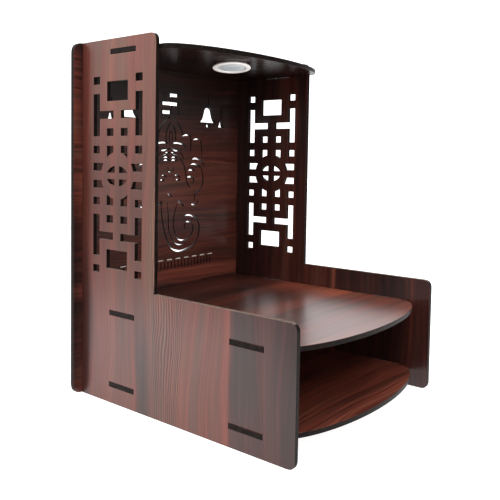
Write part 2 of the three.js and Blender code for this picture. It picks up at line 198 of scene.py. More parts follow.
@dataclass(frozen=True)
class WoodGrainLaminate:
    """Melamine-faced MDF with a rosewood print, pressed satin.

    A clear cured resin lies over a printed paper. To the eye that is long grain in red-brown and
    near-black, flat under an even satin gloss that goes pale where it mirrors a bright wall.
    Real print: bands 10 to 60 mm wide, growth lines about 3 mm apart, fibres under 1 mm. The
    fibres are drawn 1.2 mm wide, as fine as shows at this distance.

    Pairs of millimetres are a pattern's size across the grain and along it. Bands and hues are
    pairs of a place across the board in millimetres and a value from 0 to 1: how light the print
    is there, and how much of its ink is the red one. On some boards bands and clouds also carry
    painted light and painted shade.
    """

    name: str
    run: GrainRun
    seed_mm: tuple[float, float, float]
    bands: Bands
    hues: Bands = ((-200, 0.8), (400, 0.8))
    clouds: tuple[Cloud, ...] = ()
    figured_mm: float = 0.0
    figured_half_mm: float = 0.0
    contrast: float = 1.0
    reds: tuple[str, ...] = ("140806", "2e1410", "51251d", "6f372a", "8b4934")
    greys: tuple[str, ...] = ("130b09", "291915", "442d24", "5d4132", "745541")
    roughness: float = 0.29
    ior: float = 1.5
    haze: float = 0.015
    streak_mm: float = 7.0
    streak_long_mm: float = 260.0
    line_mm: tuple[float, float] = (2.6, 150.0)
    fibre_mm: tuple[float, float] = (1.2, 70.0)
    pore_mm: tuple[float, float] = (1.1, 34.0)
    haze_mm: tuple[float, float] = (45.0, 110.0)
    patch_mm: tuple[float, float] = (14.0, 300.0)
    wander_mm: tuple[float, float] = (60.0, 170.0)
    wander_by_mm: float = 7.0
    fray_mm: float = 9.0
    growth_line_mm: float = 2.856
    growth_line_stretch: float = 0.42
    pore_depth_mm: float = 0.02
    streak_share: float = 0.5
    line_share: float = 0.36
    fibre_share: float = 0.3
    figure_share: float = 0.6
    patch_share: float = 0.45

    def material(self) -> bpy.types.Material:
        """Builds the laminate's node material on Object coordinates.

        Returns:
            The material.
        """
        made, tree = blank_material(self.name)
        where = add_node(tree, "ShaderNodeTexCoord").outputs["Object"]
        place = self._drifting(tree, self._laid(tree, where))
        lighter, redder = self._clouded(tree, place)
        tone = add_up(tree, [self._tone(tree, place)] + lighter)
        colour = self._colour(tree, place, tone, redder)
        pores = self._noise(tree, place, self.pore_mm, 2.0)
        bump = add_node(tree, "ShaderNodeBump", {"Height": pores},
                        {"Strength": 0.1, "Distance": self.pore_depth_mm * MM})
        low, high = MOST_NOISE
        satin = add_node(tree, "ShaderNodeMapRange", {0: self._noise(tree, place, self.haze_mm, 1.0)},
                         {1: low, 2: high, 3: self.roughness - self.haze, 4: self.roughness + self.haze})
        shader = add_node(
            tree, "ShaderNodeBsdfPrincipled",
            {"Base Color": colour, "Roughness": satin.outputs[0], "Normal": bump.outputs[0]},
            {"IOR": self.ior})
        add_node(tree, "ShaderNodeOutputMaterial", {"Surface": shader.outputs[0]})
        return made

    def _laid(self, tree: Tree, where: Socket) -> Socket:
        """Turns the place so that x runs across the grain, y through it and z along it.

        Args:
            tree: the material's node tree.
            where: the place on the object.

        Returns:
            The turned place, moved by this board's seed so that no two boards are alike.
        """
        parts = add_node(tree, "ShaderNodeSeparateXYZ", {0: where})
        along, across = self.run.value
        through = ({"x", "y", "z"} - {along, across}).pop()
        turned = add_node(tree, "ShaderNodeCombineXYZ", {
            axis: parts.outputs["xyz".index(name)] for axis, name in enumerate((across, through, along))})
        shifted = add_node(tree, "ShaderNodeVectorMath", {0: turned.outputs[0]},
                           {1: [v * MM for v in self.seed_mm]}, operation="ADD")
        return shifted.outputs[0]

    def _noise(self, tree: Tree, place: Socket, size_mm: tuple[float, float], detail: float) -> Socket:
        """Noise with long grains.

        Args:
            tree: the material's node tree.
            place: the laid place.
            size_mm: the grains' size across the board's grain and along it.
            detail: how many finer layers it has.

        Returns:
            The noise, from 0 to 1.
        """
        across, along = size_mm
        scale = (1 / (across * MM), 1 / (across * MM), 1 / (along * MM))
        sized = add_node(tree, "ShaderNodeVectorMath", {0: place}, {1: scale}, operation="MULTIPLY")
        noise = add_node(tree, "ShaderNodeTexNoise", {"Vector": sized.outputs[0]},
                         {"Scale": 1.0, "Detail": detail, "Roughness": 0.55})
        return noise.outputs["Fac"]

    def _drifting(self, tree: Tree, place: Socket) -> Socket:
        """Lets the grain wander sideways along its length.

        Args:
            tree: the material's node tree.
            place: the laid place.

        Returns:
            The place, moved across by up to wander_by_mm.
        """
        low, high = ALL_NOISE
        reach = self.wander_by_mm * MM
        wander = self._noise(tree, place, self.wander_mm, 1.0)
        aside = add_node(tree, "ShaderNodeMapRange", {0: wander}, {1: low, 2: high, 3: -reach, 4: reach})
        shift = add_node(tree, "ShaderNodeCombineXYZ", {0: aside.outputs[0]})
        moved = add_node(tree, "ShaderNodeVectorMath", {0: place, 1: shift.outputs[0]}, operation="ADD")
        return moved.outputs[0]

    def _tone(self, tree: Tree, place: Socket) -> Socket:
        """Light and dark of the print: placed bands, with finer patterns swinging round them.

        Args:
            tree: the material's node tree.
            place: the drifting place.

        Returns:
            The bands' tone, plus each finer pattern less a half, times its share and the contrast.
        """
        streaks = self._noise(tree, place, (self.streak_mm, self.streak_long_mm), 3.0)
        swings = (
            (streaks, self.streak_share),
            (self._noise(tree, place, self.line_mm, 2.0), self.line_share),
            (self._noise(tree, place, self.fibre_mm, 1.0), self.fibre_share),
            (self._figure(tree, place), self.figure_share),
        )
        parts = [self._banded(tree, place, streaks, self.bands)]
        for pattern, share in swings:
            strength = share * self.contrast
            part = add_node(tree, "ShaderNodeMath", {0: pattern}, {1: strength, 2: -strength / 2},
                            operation="MULTIPLY_ADD")
            parts.append(part.outputs[0])
        return add_up(tree, parts)

    def _banded(self, tree: Tree, place: Socket, fraying: Socket, bands: Bands) -> Socket:
        """Reads a list of bands by the distance across the grain.

        Args:
            tree: the material's node tree.
            place: the drifting place.
            fraying: noise that frays the bands' borders by up to half of fray_mm.
            bands: places across the board, and the value at each.

        Returns:
            The value at the place.
        """
        across = add_node(tree, "ShaderNodeSeparateXYZ", {0: place}).outputs[0]
        frayed = add_node(tree, "ShaderNodeMath", {0: fraying, 2: across}, {1: self.fray_mm * MM},
                          operation="MULTIPLY_ADD")
        first, last = bands[0][0], bands[-1][0]
        start, end = ((at + self.seed_mm[0] + self.fray_mm / 2) * MM for at in (first, last))
        spread = add_node(tree, "ShaderNodeMapRange", {0: frayed.outputs[0]},
                          {1: start, 2: end, 3: 0.0, 4: 1.0})
        ramp = add_node(tree, "ShaderNodeValToRGB", {0: spread.outputs[0]})
        set_stops(ramp, [((at - first) / (last - first), (value, value, value, 1.0)) for at, value in bands])
        return ramp.outputs["Color"]

    def _clouded(self, tree: Tree, place: Socket) -> tuple[list[Socket], list[Socket]]:
        """Makes the clouds, each full within a fifth of its half sizes and gone at its border.

        Args:
            tree: the material's node tree.
            place: the drifting place.

        Returns:
            What the clouds add to the tone, and what they add to the share of red ink.
        """
        lighter, redder = [], []
        for cloud in self.clouds:
            middle = ((cloud.across + self.seed_mm[0]) * MM, 0.0, (cloud.along + self.seed_mm[2]) * MM)
            size = (1 / (cloud.half_across * MM), 0.0, 1 / (cloud.half_along * MM))
            away = add_node(tree, "ShaderNodeVectorMath", {0: place}, {1: middle}, operation="SUBTRACT")
            sized = add_node(tree, "ShaderNodeVectorMath", {0: away.outputs[0]}, {1: size},
                             operation="MULTIPLY")
            far = add_node(tree, "ShaderNodeVectorMath", {0: sized.outputs[0]}, operation="LENGTH")
            for added, parts in ((cloud.lighter, lighter), (cloud.redder, redder)):
                part = add_node(tree, "ShaderNodeMapRange", {0: far.outputs["Value"]},
                                {1: 0.2, 2: 1.0, 3: added, 4: 0.0}, interpolation_type="SMOOTHSTEP")
                parts.append(part.outputs[0])
        return lighter, redder

    def _figure(self, tree: Tree, place: Socket) -> Socket:
        """Wavy growth lines, kept to one strip of the board.

        Args:
            tree: the material's node tree.
            place: the drifting place.

        Returns:
            The lines within figured_half_mm of figured_mm, and a plain half elsewhere.
        """
        sized = add_node(tree, "ShaderNodeVectorMath", {0: place},
                         {1: (1 / MM, 1 / MM, self.growth_line_stretch / MM)}, operation="MULTIPLY")
        scale = 2 * math.pi / (20 * self.growth_line_mm)  # this texture has 20 radians to a unit
        wave = add_node(tree, "ShaderNodeTexWave", {"Vector": sized.outputs[0]},
                        {"Scale": scale, "Distortion": 7.0, "Detail": 2.0, "Detail Scale": 0.6},
                        wave_type="BANDS", bands_direction="X", wave_profile="SIN")
        across = add_node(tree, "ShaderNodeSeparateXYZ", {0: place}).outputs[0]
        middle = (self.figured_mm + self.seed_mm[0]) * MM
        away = add_node(tree, "ShaderNodeMath", {0: across}, {1: middle}, operation="SUBTRACT")
        size = add_node(tree, "ShaderNodeMath", {0: away.outputs[0]}, operation="ABSOLUTE")
        half = max(self.figured_half_mm, 0.1) * MM
        near = add_node(tree, "ShaderNodeMapRange", {0: size.outputs[0]},
                        {1: 0.6 * half, 2: half, 3: 1.0, 4: 0.0}, interpolation_type="SMOOTHSTEP")
        mixed = add_node(tree, "ShaderNodeMix", {0: near.outputs[0], 3: wave.outputs["Fac"]}, {2: 0.5},
                         data_type="FLOAT")
        return mixed.outputs[0]

    def _colour(self, tree: Tree, place: Socket, tone: Socket, redder: list[Socket]) -> Socket:
        """Lays the red-brown and the grey-brown ink over each other in patches.

        Args:
            tree: the material's node tree.
            place: the drifting place.
            tone: how light the print is.
            redder: what is added to the share of red ink.

        Returns:
            The print's colour.
        """
        inks = []
        for shades in (self.greys, self.reds):
            ramp = add_node(tree, "ShaderNodeValToRGB", {0: tone})
            steps = len(shades) - 1
            set_stops(ramp, [(i / steps, linear(shade)) for i, shade in enumerate(shades)])
            inks.append(ramp.outputs["Color"])
        low, high = MOST_NOISE
        patches = self._noise(tree, place, self.patch_mm, 2.0)
        swing = add_node(tree, "ShaderNodeMapRange", {0: patches},
                         {1: low, 2: high, 3: -self.patch_share, 4: self.patch_share})
        red = add_up(tree, [self._banded(tree, place, patches, self.hues)] + redder)
        share = add_node(tree, "ShaderNodeMath", {0: red, 1: swing.outputs[0]}, operation="ADD",
                         use_clamp=True)
        mixed = add_node(tree, "ShaderNodeMix", {0: share.outputs[0], 6: inks[0], 7: inks[1]},
                         data_type="RGBA")
        return mixed.outputs[2]


@dataclass(frozen=True)
class CharredFibre:
    """The edge of fibre board as a laser leaves it: burnt near black-brown and barely glazed.

    The eye sees a dark line, a little uneven in tone, that pales only where it is seen aslant.
    Its IOR is low because open, sooty fibre mirrors less than its resin would.
    """

    name: str = "laser_charred_mdf"
    dark: str = "0a0706"
    pale: str = "1d1512"
    roughness: float = 0.42
    ior: float = 1.15
    soot_mm: float = 4.0
    depth_mm: float = 0.06

    def material(self) -> bpy.types.Material:
        """Builds the edge's node material.

        Returns:
            The material.
        """
        made, tree = blank_material(self.name)
        where = add_node(tree, "ShaderNodeTexCoord").outputs["Object"]
        soot = add_node(tree, "ShaderNodeTexNoise", {"Vector": where},
                        {"Scale": 1 / (self.soot_mm * MM), "Detail": 4.0, "Roughness": 0.6})
        ramp = add_node(tree, "ShaderNodeValToRGB", {0: soot.outputs["Fac"]})
        set_stops(ramp, [(0.32, linear(self.dark)), (0.68, linear(self.pale))])
        bump = add_node(tree, "ShaderNodeBump", {"Height": soot.outputs["Fac"]},
                        {"Strength": 0.25, "Distance": self.depth_mm * MM})
        shader = add_node(tree, "ShaderNodeBsdfPrincipled",
                          {"Base Color": ramp.outputs["Color"], "Normal": bump.outputs[0]},
                          {"Roughness": self.roughness, "IOR": self.ior})
        add_node(tree, "ShaderNodeOutputMaterial", {"Surface": shader.outputs[0]})
        return made


@dataclass(frozen=True)
class BareFibreWithPaintedLight:
    """Fibre board with its print shaved off by a light laser pass: pale tan and dry to the eye,
    with its colours lifted near white as painted light, as if bright light shone through.
    """

    name: str = "engraved_mdf_painted_light"
    # Both colours lift the bare fibre near white: painted light, as if bright light shone through.
    dark: str = "d8c6b4"
    pale: str = "f6eee6"
    roughness: float = 0.8
    fibre_mm: float = 1.5

    def material(self) -> bpy.types.Material:
        """Builds the engraved board's node material.

        Returns:
            The material.
        """
        made, tree = blank_material(self.name)
        where = add_node(tree, "ShaderNodeTexCoord").outputs["Object"]
        fibre = add_node(tree, "ShaderNodeTexNoise", {"Vector": where},
                         {"Scale": 1 / (self.fibre_mm * MM), "Detail": 3.0, "Roughness": 0.6})
        ramp = add_node(tree, "ShaderNodeValToRGB", {0: fibre.outputs["Fac"]})
        set_stops(ramp, [(0.3, linear(self.dark)), (0.6, linear(self.pale))])
        shader = add_node(tree, "ShaderNodeBsdfPrincipled", {"Base Color": ramp.outputs["Color"]},
                          {"Roughness": self.roughness, "Specular IOR Level": 0.2})
        add_node(tree, "ShaderNodeOutputMaterial", {"Surface": shader.outputs[0]})
        return made


@dataclass(frozen=True)
class MouldedPlastic:
    """White injection-moulded ABS: even, slightly warm, with a soft gloss and a fine sparked skin."""

    name: str = "white_abs_moulded"
    colour: str = "f4f0ed"
    shade: str = "e8e3df"
    roughness: float = 0.36
    ior: float = 1.53
    cloud_mm: float = 9.0
    skin_mm: float = 0.5
    skin_depth_mm: float = 0.03

    def material(self) -> bpy.types.Material:
        """Builds the plastic's node material.

        Returns:
            The material.
        """
        made, tree = blank_material(self.name)
        where = add_node(tree, "ShaderNodeTexCoord").outputs["Object"]
        cloud = add_node(tree, "ShaderNodeTexNoise", {"Vector": where},
                         {"Scale": 1 / (self.cloud_mm * MM), "Detail": 2.0})
        ramp = add_node(tree, "ShaderNodeValToRGB", {0: cloud.outputs["Fac"]})
        set_stops(ramp, [(0.3, linear(self.shade)), (0.6, linear(self.colour))])
        skin = add_node(tree, "ShaderNodeTexNoise", {"Vector": where},
                        {"Scale": 1 / (self.skin_mm * MM), "Detail": 2.0})
        bump = add_node(tree, "ShaderNodeBump", {"Height": skin.outputs["Fac"]},
                        {"Strength": 0.08, "Distance": self.skin_depth_mm * MM})
        shader = add_node(tree, "ShaderNodeBsdfPrincipled",
                          {"Base Color": ramp.outputs["Color"], "Normal": bump.outputs[0]},
                          {"Roughness": self.roughness, "IOR": self.ior})
        add_node(tree, "ShaderNodeOutputMaterial", {"Surface": shader.outputs[0]})
        return made


@dataclass(frozen=True)
class FrostedLens:
    """Frosted polycarbonate over a lamp that is off: milky blue-grey, with painted shade darkening
    its rim where the ring's lip shades it.
    """

    middle_m: tuple[float, float]
    radius: float
    name: str = "frosted_polycarbonate"
    core: str = "b9c3ca"
    body: str = "bfc3c5"
    rim: str = "b3b1af"
    roughness: float = 0.4
    ior: float = 1.58

    def material(self) -> bpy.types.Material:
        """Builds the lens's node material, shaded by the distance from its middle.

        Returns:
            The material.
        """
        made, tree = blank_material(self.name)
        where = add_node(tree, "ShaderNodeTexCoord").outputs["Object"]
        flat = add_node(tree, "ShaderNodeVectorMath", {0: where}, {1: (1.0, 1.0, 0.0)}, operation="MULTIPLY")
        away = add_node(tree, "ShaderNodeVectorMath", {0: flat.outputs[0]}, {1: (*self.middle_m, 0.0)},
                        operation="DISTANCE")
        share = add_node(tree, "ShaderNodeMapRange", {0: away.outputs["Value"]},
                         {1: 0.0, 2: self.radius, 3: 0.0, 4: 1.0})
        ramp = add_node(tree, "ShaderNodeValToRGB", {0: share.outputs[0]})
        # The last stop darkens the rim: painted shade from the ring's lip.
        set_stops(ramp, [(0.0, linear(self.core)), (0.45, linear(self.body)), (0.86, linear(self.body)),
                         (1.0, linear(self.rim))])
        shader = add_node(tree, "ShaderNodeBsdfPrincipled", {"Base Color": ramp.outputs["Color"]},
                          {"Roughness": self.roughness, "IOR": self.ior})
        add_node(tree, "ShaderNodeOutputMaterial", {"Surface": shader.outputs[0]})
        return made


@functools.cache
def material_of(finish: WoodGrainLaminate | CharredFibre | BareFibreWithPaintedLight) -> bpy.types.Material:
    """Builds a board's finish once, however many boards share it."""
    return finish.material()


def link(name: str, mesh: bpy.types.Mesh) -> bpy.types.Object:
    """Puts a mesh into the scene.

    Args:
        name: the object's name.
        mesh: its mesh, in place.

    Returns:
        The object, at the origin.
    """
    piece = bpy.data.objects.new(name, mesh)
    bpy.context.scene.collection.objects.link(piece)
    return piece


def surface_piece(name: str, surfaces: list[tuple[np.ndarray, np.ndarray]], material: bpy.types.Material,
                  crisp_degrees: float = 40.0) -> bpy.types.Object:
    """Makes one object from surfaces worked out as whole arrays.

    Args:
        name: the piece's name.
        surfaces: pairs of n by 3 places in metres and m by 4 point numbers.
        material: its finish.
        crisp_degrees: edges that turn more than this stay crisp.

    Returns:
        The linked object, at the origin, its doubles merged and its faces pointing out.
    """
    counts = np.cumsum([0] + [len(points) for points, _ in surfaces[:-1]])
    points = np.concatenate([points for points, _ in surfaces])
    quads = np.concatenate([quads + start for (_, quads), start in zip(surfaces, counts)])
    mesh = bpy.data.meshes.new(name)
    mesh.from_pydata(points.tolist(), [], quads.tolist())
    work = bmesh.new()
    work.from_mesh(mesh)
    bmesh.ops.remove_doubles(work, verts=work.verts, dist=SAME_POINT)
    bmesh.ops.recalc_face_normals(work, faces=work.faces)
    work.to_mesh(mesh)
    work.free()
    mesh.polygons.foreach_set("use_smooth", np.ones(len(mesh.polygons), bool))
    mesh.set_sharp_from_angle(angle=math.radians(crisp_degrees))
    mesh.materials.append(material)
    return link(name, mesh)


def grid_quads(rows: int, columns: int) -> np.ndarray:
    """Faces of a grid whose rows close on themselves: face (i, j) joins i, i + 1 and j, j + 1.

    Args:
        rows: how many rows the grid has.
        columns: how many points each row has.

    Returns:
        The four point numbers of each face.
    """
    i, j = np.meshgrid(np.arange(rows), np.arange(columns - 1), indexing="ij")
    after = (i + 1) % rows
    quads = [i * columns + j, after * columns + j, after * columns + j + 1, i * columns + j + 1]
    return np.stack(quads, axis=-1).reshape(-1, 4)


@dataclass
class Board:
    """One laser-cut board, taken from its node of the frame, with its arrises just broken."""

    node: str
    facing: Facing
    finish: WoodGrainLaminate
    # A paler charred finish for edges that look up: painted light and a painted sheen from above.
    painted_light_edge: CharredFibre = CharredFibre("charred_mdf_painted_light", dark="4a3e38", pale="6d5c53", roughness=0.6)
    painted_light_from: float = math.inf
    arris: float = 0.4 * MM
    crisp_degrees: float = 34.0
    flat_degrees: float = 0.5

    def build(self) -> bpy.types.Object:
        """Copies the node's mesh, merges it, dresses it and breaks its sharp edges.

        Returns:
            The dressed board, which stands for its node.
        """
        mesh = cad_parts[self.node].data.copy()
        mesh.name = f"{self.node}_board"
        stored = mesh.attributes.get("custom_normal")
        if stored is not None:
            mesh.attributes.remove(stored)
        work = bmesh.new()
        work.from_mesh(mesh)
        bmesh.ops.remove_doubles(work, verts=work.verts, dist=SAME_POINT)
        bmesh.ops.dissolve_limit(work, angle_limit=math.radians(self.flat_degrees), verts=work.verts,
                                 edges=work.edges)
        limit = math.radians(self.crisp_degrees)
        weights = [float(e.calc_face_angle(0.0) > limit and self.breaks(e)) for e in work.edges]
        work.to_mesh(mesh)
        work.free()
        mesh.attributes.new("bevel_weight_edge", "FLOAT", "EDGE").data.foreach_set("value", weights)
        self.dress(mesh)
        mesh.set_sharp_from_angle(angle=limit)
        board = link(mesh.name, mesh)
        bevel = board.modifiers.new("broken_arris", "BEVEL")
        bevel.width = self.arris
        bevel.segments = 2
        bevel.limit_method = "WEIGHT"
        bevel.harden_normals = True
        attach(board, "root")
        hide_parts(self.node)
        return board

    def breaks(self, edge: bmesh.types.BMEdge) -> bool:
        """Whether this edge's arris is broken: here every one is."""
        return True

    def dress(self, mesh: bpy.types.Mesh) -> None:
        """Gives the two outer faces the print, and every other face its cut finish.

        A face is printed when it looks along the board's thickness and lies in an outer plane.
        Edges that look up, above a set height, get a paler charred finish: painted light from above
        and a painted sheen. The faces that look along the thickness stay flat, and the cut walls
        are shaded smooth.

        Args:
            mesh: the board's own mesh.
        """
        mesh.materials.clear()
        for finish in (self.finish, CharredFibre(), BareFibreWithPaintedLight(), self.painted_light_edge):
            mesh.materials.append(material_of(finish))
        count = len(mesh.polygons)
        normals, centres = np.empty(3 * count), np.empty(3 * count)
        mesh.polygons.foreach_get("normal", normals)
        mesh.polygons.foreach_get("center", centres)
        normals, centres = normals.reshape(-1, 3), centres.reshape(-1, 3)
        depth = centres[:, self.facing.value]
        facing = np.abs(normals[:, self.facing.value]) > ALONG
        outer = (depth - depth.min() < SAME_PLANE) | (depth.max() - depth < SAME_PLANE)
        numbers = np.where(facing & outer, FaceKind.PRINTED.value, FaceKind.CUT_EDGE.value)
        # Up-facing cut edges above the set height take the paler finish: painted light.
        upper = (normals[:, 2] > UPWARD) & (centres[:, 2] > self.painted_light_from)
        numbers[upper & ~facing] = FaceKind.PAINTED_LIT_EDGE.value
        self.mark_strokes(numbers, facing & ~outer, centres)
        mesh.polygons.foreach_set("material_index", numbers.astype(np.int32))
        mesh.polygons.foreach_set("use_smooth", ~facing)

    def mark_strokes(self, numbers: np.ndarray, sunk: np.ndarray, centres: np.ndarray) -> None:
        """Leaves the sunk faces as they are: a plain board has none."""


@dataclass
class SidePanel(Board):
    """A stepped side panel: its up-facing edges carry painted light, and the lattice's ring stays unbroken.
    """

    # Above this height, edges that look up take the painted light.
    painted_light_from: float = 128 * MM
    ring_middle: tuple[float, float] = (87.5 * MM, 248.2 * MM)
    ring_reach: float = 30 * MM

    def breaks(self, edge: bmesh.types.BMEdge) -> bool:
        """Whether an end lies outside the ring, whose tips are too sharp to break."""
        y, z = self.ring_middle
        return any(math.hypot(v.co.y - y, v.co.z - z) > self.ring_reach for v in edge.verts)


@dataclass
class BackPanel(Board):
    """The pierced back panel: only its rim and its tab slots are broken, and its dashes carry painted light.
    """

    rim: float = 22 * MM
    dash_row: float = 134 * MM
    corners: tuple[Vector, Vector] = field(init=False)

    def __post_init__(self) -> None:
        """Looks up the panel's box once."""
        self.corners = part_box(self.node)

    def breaks(self, edge: bmesh.types.BMEdge) -> bool:
        """Whether the edge is broken.

        Args:
            edge: an edge of the merged mesh.

        Returns:
            True when both ends lie in the side rims or on the top or bottom edge.
        """
        low, high = self.corners
        return all(
            min(v.co.x - low.x, high.x - v.co.x) < self.rim
            or min(v.co.z - low.z, high.z - v.co.z) < 2 * SAME_PLANE
            for v in edge.verts)

    def mark_strokes(self, numbers: np.ndarray, sunk: np.ndarray, centres: np.ndarray) -> None:
        """Bares the fibre in the upper row of shallow strokes, lifted near white as painted light;
        the lower row stays charred.
        """
        # The upper row's pale finish is painted light.
        numbers[sunk & (centres[:, 2] > self.dash_row)] = FaceKind.PALE_STROKE.value


@dataclass
class Cabinet:
    """The six boards, each with the bands of grain that its place shows."""

    def left_print_and_shade(self) -> WoodGrainLaminate:
        """The left side's print: a strip of growth lines in the middle and a dark band in front; along
        its rear strip, by the back panel's flange, painted shade and a painted reflection of the flange.
        """
        return WoodGrainLaminate(
            "rosewood_laminate_left_painted_shade", GrainRun.UPRIGHT, (400.0, 0.0, 0.0),
            bands=((-150, 0.12), (-132, 0.2), (-112, 0.32), (-100, 0.28), (-72, 0.26), (-68, 0.32),
                   (-65, 0.62), (-60, 0.53), (-10, 0.52), (2, 0.43), (20, 0.46), (34, 0.48), (42, 0.46),
                   (58, 0.46), (66, 0.48), (100, 0.5), (115, 0.42), (124, 0.44), (146, 0.4)),
            hues=((-150, 1.0), (-130, 1.0), (-120, 0.5), (-112, 0.5), (-108, 1.0), (-100, 1.0), (-94, 0.4),
                  (-72, 0.3), (-67, 1.0), (-58, 0.9), (-10, 0.75), (0, 0.6), (30, 0.6), (36, 0.6),
                  (58, 0.6), (66, 0.8), (112, 0.8), (119, 0.4), (125, 1.0), (146, 1.0)),
            # Cloud(140, 60, ...) darkens and reddens the rear strip next to the flange: painted shade and a
            # painted reflection of the flange.
            clouds=(Cloud(46, 10, 20, 110, -0.16, -0.55), Cloud(60, 360, 150, 150, 0.22, -0.05),
                    Cloud(20, 215, 40, 130, 0.22, -0.1), Cloud(-84, 70, 20, 60, -0.04, -0.3),
                    Cloud(140, 60, 18, 160, -0.2, 0.2), Cloud(60, 70, 60, 60, -0.05, 0.0)),
            figured_mm=12.0, figured_half_mm=24.0, contrast=0.7)

    def right_print(self) -> WoodGrainLaminate:
        """The right side's print: dark, with one thin light band."""
        return WoodGrainLaminate(
            "rosewood_laminate_right", GrainRun.UPRIGHT, (700.0, 50.0, 130.0),
            bands=((-150, 0.16), (-118, 0.28), (-100, 0.14), (-80, 0.12), (-60, 0.24), (-40, 0.14),
                   (-24, 0.26), (-19, 0.74), (-13, 0.3), (10, 0.44), (40, 0.28), (60, 0.48), (80, 0.32),
                   (110, 0.16), (146, 0.12)),
            contrast=1.2)

    def back_print_and_shade(self) -> WoodGrainLaminate:
        """The back's print, darker at its lower left rim, with painted shade darkening it towards the roof.
        """
        return WoodGrainLaminate(
            "rosewood_laminate_back_painted_shade", GrainRun.SIDEWAYS_STANDING, (910.0, 5.0, 64.0),
            # The bands from 310 mm up darken it under the roof: painted shade.
            bands=((0, 0.5), (40, 0.42), (70, 0.5), (104, 0.4), (112, 0.72), (120, 0.8), (128, 0.48),
                   (160, 0.5), (190, 0.46), (215, 0.6), (240, 0.66), (270, 0.5), (310, 0.32), (345, 0.12),
                   (394, 0.16)),
            clouds=(Cloud(120, -160, 190, 28, -0.42, 0.3), Cloud(340, -160, 90, 28, 0.4, 0.2)),
            contrast=1.45, streak_mm=5.0)

    def roof_print(self) -> WoodGrainLaminate:
        """The roof's print: near-black, under a resin that mirrors less than the others."""
        return WoodGrainLaminate(
            "rosewood_laminate_roof", GrainRun.SIDEWAYS_LYING, (60.0, 7.0, 210.0),
            bands=((-20, 0.16), (30, 0.12), (60, 0.02), (100, 0.03), (146, 0.14)),
            roughness=0.26, ior=1.12)

    def upper_shelf_print_light_and_shade(self) -> WoodGrainLaminate:
        """The upper shelf's print: broad soft bands, with painted light and sheen lightening its right
        end and painted shade darkening its back left under the roof.
        """
        return WoodGrainLaminate(
            "rosewood_laminate_upper_shelf_painted_light", GrainRun.SIDEWAYS_LYING, (230.0, 3.0, 37.0),
            bands=((-152, 0.6), (-120, 0.5), (-100, 0.6), (-84, 0.46), (-52, 0.4), (-30, 0.58),
                   (-10, 0.44), (16, 0.3), (40, 0.5), (62, 0.26), (100, 0.48), (125, 0.26), (146, 0.24)),
            # The first cloud is painted light and painted sheen on the open right end; the second is painted
            # shade at the back left, under the roof.
            clouds=(Cloud(0, 135, 110, 90, 0.4, 0.1), Cloud(90, -50, 90, 150, -0.14, 0.0),
                    Cloud(-90, -70, 60, 90, -0.1, 0.0)),
            contrast=1.15)

    def lower_shelf_print_and_shade(self) -> WoodGrainLaminate:
        """The lower shelf's print: hard fine streaks, with painted shadow darkening it towards the back
        and at its back left, under the upper shelf.
        """
        return WoodGrainLaminate(
            "rosewood_laminate_lower_shelf_painted_shade", GrainRun.SIDEWAYS_LYING, (520.0, 1.0, 99.0),
            bands=((-152, 0.7), (-120, 0.5), (-92, 0.66), (-60, 0.4), (-20, 0.54), (30, 0.34), (146, 0.2)),
            # This cloud darkens the back left: painted shadow under the upper shelf.
            clouds=(Cloud(110, -60, 110, 200, -0.3, 0.0),),
            contrast=2.0, streak_mm=5.0)

    def build(self) -> list[bpy.types.Object]:
        """Makes the boards, from the left side round to the shelves.

        Returns:
            The six boards.
        """
        boards = (
            SidePanel("left_side_panel", Facing.SIDEWAYS, self.left_print_and_shade()),
            SidePanel("right_side_panel", Facing.SIDEWAYS, self.right_print()),
            BackPanel("back_panel", Facing.BACKWARD, self.back_print_and_shade()),
            Board("roof_panel", Facing.UPWARD, self.roof_print()),
            Board("upper_shelf", Facing.UPWARD, self.upper_shelf_print_light_and_shade()),
            Board("lower_shelf", Facing.UPWARD, self.lower_shelf_print_and_shade()),
        )
        return [board.build() for board in boards]


